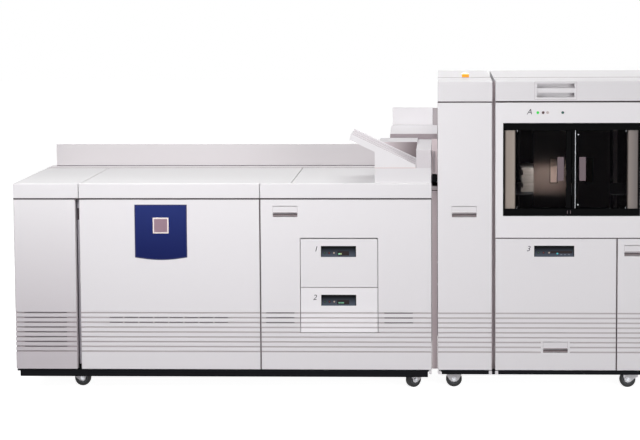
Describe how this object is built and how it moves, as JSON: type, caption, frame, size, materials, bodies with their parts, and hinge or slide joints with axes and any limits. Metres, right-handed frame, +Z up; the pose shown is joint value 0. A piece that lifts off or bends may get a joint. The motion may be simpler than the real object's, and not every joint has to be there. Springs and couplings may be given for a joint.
{
  "type": "digital production printer",
  "caption": "Floor-standing production printer: long low print engine with paper trays, narrow transport tower and tall stacker cabinet with smoked window doors, on casters.",
  "frame": {"origin": "on the floor under the middle of the whole machine", "axes": "+Z up, -Y towards the front with the doors, +X to the right along the row of modules"},
  "size_m": [3.042, 1.15, 1.468],
  "materials": {
    "base_black": "satin black powder coat",
    "frame_steel": "grey coated sheet",
    "panel_paint": "fine textured off-white paint",
    "door_plastic": "fine textured off-white moulding",
    "worktop_paint": "satin off-white paint",
    "zinc": "bright zinc plate",
    "pin_steel": "ground steel",
    "tray_steel": "galvanised sheet",
    "wheel_black": "matte black",
    "works_dark": "dark grey moulding",
    "belt_plastic": "glossy coated belt on plastic rollers",
    "silicone": "matte silicone rubber",
    "window_black": "glossy black moulding",
    "pillar_beige": "warm grey moulding",
    "smoked": "smoked acrylic",
    "lens_orange": "translucent coloured lens",
    "paper_white": "uncoated sheets"
  },
  "bodies": {
    "machine": {"base_frames": "base_black", "engine_frame": "frame_steel", "end_cover": "door_plastic", "engine_fascia": "door_plastic", "worktop_panels": "worktop_paint", "rear_wall": "panel_paint", "back_cover": "panel_paint", "crossover_housing": "door_plastic", "sample_tray": "door_plastic", "hinge_pins": "pin_steel", "belt_module": "belt_plastic", "fuser_housing": "frame_steel", "electronics_cage": "frame_steel", "tower_frame": "panel_paint", "tower_top": "door_plastic", "signal_lenses": "lens_orange", "stacker_frame": "panel_paint", "bay_surround": "door_plastic", "window_frame": "window_black", "bay_pillars": "pillar_beige", "docking_parts": "door_plastic", "fixed_forks": "zinc"},
    "tray_1": {"tray_1_box": "tray_steel", "tray_1_front": "door_plastic"},
    "tray_2": {"tray_2_box": "tray_steel", "tray_2_front": "door_plastic"},
    "tray_3": {"tray_3_box": "tray_steel", "tray_3_front": "door_plastic"},
    "platform": {"stack_platform": "tray_steel", "paper_stack": "paper_white"},
    "worktop_cover": {"worktop_cover": "worktop_paint"},
    "emblem_door": {"emblem_door": "door_plastic"},
    "tray_door": {"tray_door": "door_plastic"},
    "tray_door_latch": {"tray_door_latch": "door_plastic"},
    "tray_1_plate": {"tray_1_plate": "tray_steel"},
    "tray_2_plate": {"tray_2_plate": "tray_steel"},
    "crossover_cover": {"crossover_cover": "door_plastic"},
    "fuser_roll": {"fuser_roll": "silicone"},
    "pressure_roll": {"pressure_roll": "works_dark"},
    "tower_door": {"tower_door": "door_plastic"},
    "tower_latch": {"tower_latch": "door_plastic"},
    "top_cover": {"top_cover": "door_plastic"},
    "window_door_left": {"window_door_left": "smoked"},
    "window_door_right": {"window_door_right": "smoked"},
    "tray_3_plate": {"tray_3_plate": "tray_steel"},
    "tray_3_handle": {"tray_3_handle": "door_plastic"},
    "lower_door": {"lower_door": "door_plastic"},
    "lower_latch": {"lower_latch": "door_plastic"},
    "fork_1": {"fork_1": "zinc"},
    "fork_2": {"fork_2": "zinc"},
    "fork_3": {"fork_3": "zinc"},
    "fork_4": {"fork_4": "zinc"},
    "wheel_1": {"wheel_1": "wheel_black"},
    "wheel_2": {"wheel_2": "wheel_black"},
    "wheel_3": {"wheel_3": "wheel_black"},
    "wheel_4": {"wheel_4": "wheel_black"},
    "wheel_5": {"wheel_5": "wheel_black"},
    "wheel_6": {"wheel_6": "wheel_black"},
    "wheel_7": {"wheel_7": "wheel_black"},
    "wheel_8": {"wheel_8": "wheel_black"}
  },
  "joints": [
    {"name": "worktop_cover_hinge", "type": "hinge", "parent": "machine", "child": "worktop_cover", "pos_m": [-0.7115, 0.202, 0.972], "axis": [-1, 0, 0], "range_deg": [0, 70]},
    {"name": "emblem_door_hinge", "type": "hinge", "parent": "machine", "child": "emblem_door", "pos_m": [-1.203, -0.56, 0.498], "axis": [0, 0, -1], "range_deg": [0, 100]},
    {"name": "tray_door_hinge", "type": "hinge", "parent": "machine", "child": "tray_door", "pos_m": [0.426, -0.56, 0.498], "axis": [0, 0, 1], "range_deg": [0, 100]},
    {"name": "tower_door_hinge", "type": "hinge", "parent": "machine", "child": "tower_door", "pos_m": [0.707, -0.56, 0.723], "axis": [0, 0, 1], "range_deg": [0, 90]},
    {"name": "lower_door_hinge", "type": "hinge", "parent": "machine", "child": "lower_door", "pos_m": [1.512, -0.56, 0.406], "axis": [0, 0, 1], "range_deg": [0, 100]},
    {"name": "window_left_hinge", "type": "hinge", "parent": "machine", "child": "window_door_left", "pos_m": [0.8323, -0.56, 1.0375], "axis": [0, 0, -1], "range_deg": [0, 95]},
    {"name": "window_right_hinge", "type": "hinge", "parent": "machine", "child": "window_door_right", "pos_m": [1.3337, -0.56, 1.0375], "axis": [0, 0, 1], "range_deg": [0, 95]},
    {"name": "top_cover_hinge", "type": "hinge", "parent": "machine", "child": "top_cover", "pos_m": [1.126, 0.573, 1.35], "axis": [-1, 0, 0], "range_deg": [0, 50]},
    {"name": "crossover_cover_hinge", "type": "hinge", "parent": "machine", "child": "crossover_cover", "pos_m": [0.3325, 0.311, 1.181], "axis": [-1, 0, 0], "range_deg": [0, 65]},
    {"name": "tray_1_slide", "type": "slide", "parent": "machine", "child": "tray_1", "axis": [0, -1, 0], "range_m": [0, 0.48]},
    {"name": "tray_2_slide", "type": "slide", "parent": "machine", "child": "tray_2", "axis": [0, -1, 0], "range_m": [0, 0.48]},
    {"name": "tray_3_slide", "type": "slide", "parent": "machine", "child": "tray_3", "axis": [0, -1, 0], "range_m": [0, 0.48]},
    {"name": "tray_1_lift", "type": "slide", "parent": "tray_1", "child": "tray_1_plate", "axis": [0, 0, 1], "range_m": [0, 0.15]},
    {"name": "tray_2_lift", "type": "slide", "parent": "tray_2", "child": "tray_2_plate", "axis": [0, 0, 1], "range_m": [0, 0.15]},
    {"name": "tray_3_lift", "type": "slide", "parent": "tray_3", "child": "tray_3_plate", "axis": [0, 0, 1], "range_m": [0, 0.45]},
    {"name": "platform_lift", "type": "slide", "parent": "machine", "child": "platform", "axis": [0, 0, 1], "range_m": [-0.1, 0.22]},
    {"name": "tray_door_paddle", "type": "hinge", "parent": "tray_door", "child": "tray_door_latch", "pos_m": [-0.247, -0.571, 0.863], "axis": [-1, 0, 0], "range_deg": [0, 25], "stiffness_Nm_per_rad": 0.15, "springref_deg": -14.32},
    {"name": "tower_paddle", "type": "hinge", "parent": "tower_door", "child": "tower_latch", "pos_m": [0.5865, -0.571, 0.862], "axis": [-1, 0, 0], "range_deg": [0, 25], "stiffness_Nm_per_rad": 0.15, "springref_deg": -14.32},
    {"name": "lower_door_paddle", "type": "hinge", "parent": "lower_door", "child": "lower_latch", "pos_m": [1.386, -0.571, 0.68], "axis": [-1, 0, 0], "range_deg": [0, 25], "stiffness_Nm_per_rad": 0.15, "springref_deg": -14.32},
    {"name": "tray_3_paddle", "type": "hinge", "parent": "tray_3", "child": "tray_3_handle", "pos_m": [1.011, -0.571, 0.226], "axis": [-1, 0, 0], "range_deg": [0, 25], "stiffness_Nm_per_rad": 0.15, "springref_deg": -14.32},
    {"name": "fuser_roll_turn", "type": "hinge", "parent": "machine", "child": "fuser_roll", "pos_m": [-0.467, -0.205, 0.424], "axis": [0, 1, 0], "continuous": true},
    {"name": "pressure_roll_turn", "type": "hinge", "parent": "machine", "child": "pressure_roll", "pos_m": [-0.467, -0.205, 0.3584], "axis": [0, 1, 0], "continuous": true},
    {"name": "swivel_1", "type": "hinge", "parent": "machine", "child": "fork_1", "pos_m": [-1.252, -0.475, 0.088], "axis": [0, 0, 1], "continuous": true},
    {"name": "wheel_1_turn", "type": "hinge", "parent": "fork_1", "child": "wheel_1", "pos_m": [-1.224, -0.475, 0.0375], "axis": [0, 1, 0], "continuous": true},
    {"name": "swivel_2", "type": "hinge", "parent": "machine", "child": "fork_2", "pos_m": [0.371, -0.475, 0.088], "axis": [0, 0, 1], "continuous": true},
    {"name": "wheel_2_turn", "type": "hinge", "parent": "fork_2", "child": "wheel_2", "pos_m": [0.34806, -0.49106, 0.0375], "axis": [0.5736, -0.8192, 0], "continuous": true},
    {"name": "swivel_3", "type": "hinge", "parent": "machine", "child": "fork_3", "pos_m": [1.384, -0.475, 0.088], "axis": [0, 0, 1], "continuous": true},
    {"name": "wheel_3_turn", "type": "hinge", "parent": "fork_3", "child": "wheel_3", "pos_m": [1.356, -0.475, 0.0375], "axis": [0, -1, 0], "continuous": true},
    {"name": "swivel_4", "type": "hinge", "parent": "machine", "child": "fork_4", "pos_m": [1.384, 0.475, 0.088], "axis": [0, 0, 1], "continuous": true},
    {"name": "wheel_4_turn", "type": "hinge", "parent": "fork_4", "child": "wheel_4", "pos_m": [1.356, 0.475, 0.0375], "axis": [0, -1, 0], "continuous": true},
    {"name": "wheel_5_turn", "type": "hinge", "parent": "machine", "child": "wheel_5", "pos_m": [-1.224, 0.265, 0.0375], "axis": [0, 1, 0], "continuous": true},
    {"name": "wheel_6_turn", "type": "hinge", "parent": "machine", "child": "wheel_6", "pos_m": [0.343, 0.265, 0.0375], "axis": [0, 1, 0], "continuous": true},
    {"name": "wheel_7_turn", "type": "hinge", "parent": "machine", "child": "wheel_7", "pos_m": [0.539, -0.475, 0.0375], "axis": [0, 1, 0], "continuous": true},
    {"name": "wheel_8_turn", "type": "hinge", "parent": "machine", "child": "wheel_8", "pos_m": [0.539, 0.475, 0.0375], "axis": [0, 1, 0], "continuous": true}
  ],
  "couplings": [
    {"joint": "pressure_roll_turn", "follows": "fuser_roll_turn", "ratio": -1.1667}
  ]
}
